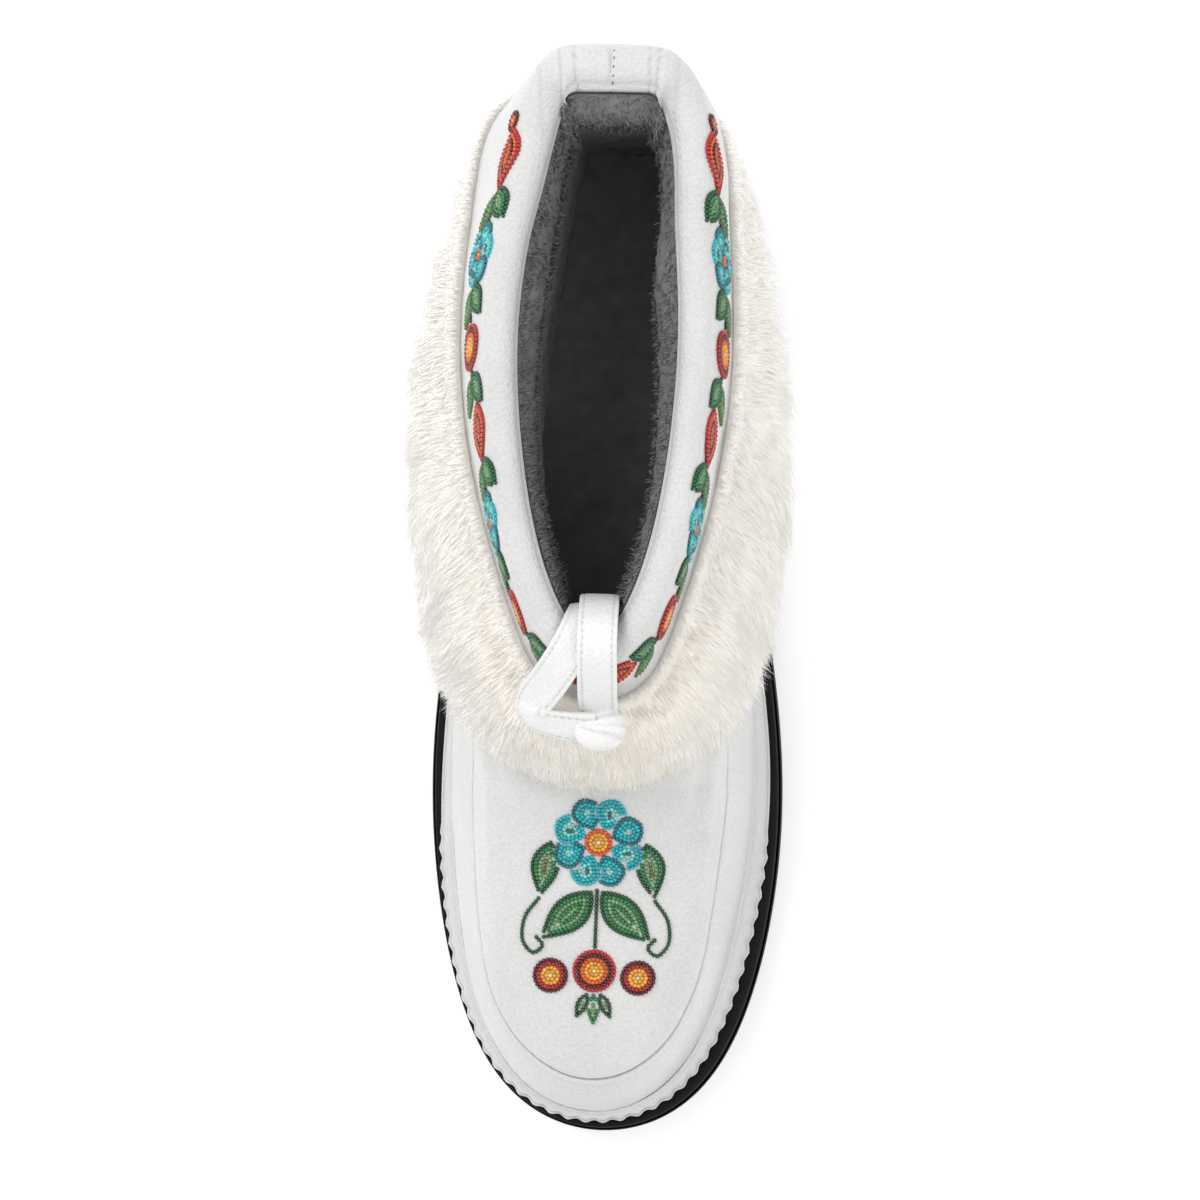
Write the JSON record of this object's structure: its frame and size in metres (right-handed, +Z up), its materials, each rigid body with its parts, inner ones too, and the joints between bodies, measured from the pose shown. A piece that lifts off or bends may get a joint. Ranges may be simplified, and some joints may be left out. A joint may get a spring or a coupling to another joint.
{
  "type": "mukluk boot",
  "caption": "Low moccasin-toe boot, right foot, with a rubber sole, wrapped midsole, hollow leather upper, padded collar, fur cuff and a looped front tie.",
  "frame": {"origin": "on the floor under the middle of the boot's box", "axes": "+Y towards the heel, -Y towards the toe, +X towards the big-toe side of this right shoe, +Z up"},
  "size_m": [0.1002, 0.287, 0.1536],
  "materials": {
    "rubber_sole": "satin black rubber",
    "wrap_leather": "white fine-grained leather, soft sheen",
    "upper_leather": "white fine-grained leather, soft sheen",
    "plush_lining": "dark grey plush pile",
    "fur": "creamy white long pile",
    "tie_leather": "white leather, soft sheen",
    "beadwork": "small glossy seed beads in several colours"
  },
  "bodies": {
    "root": {"outsole": "rubber_sole", "midsole": "wrap_leather", "upper": "upper_leather", "insole": "plush_lining", "fur_cuff": "fur", "tie_strap": "tie_leather", "tie_loop": "tie_leather", "tie_knot": "tie_leather"}
  },
  "joints": []
}
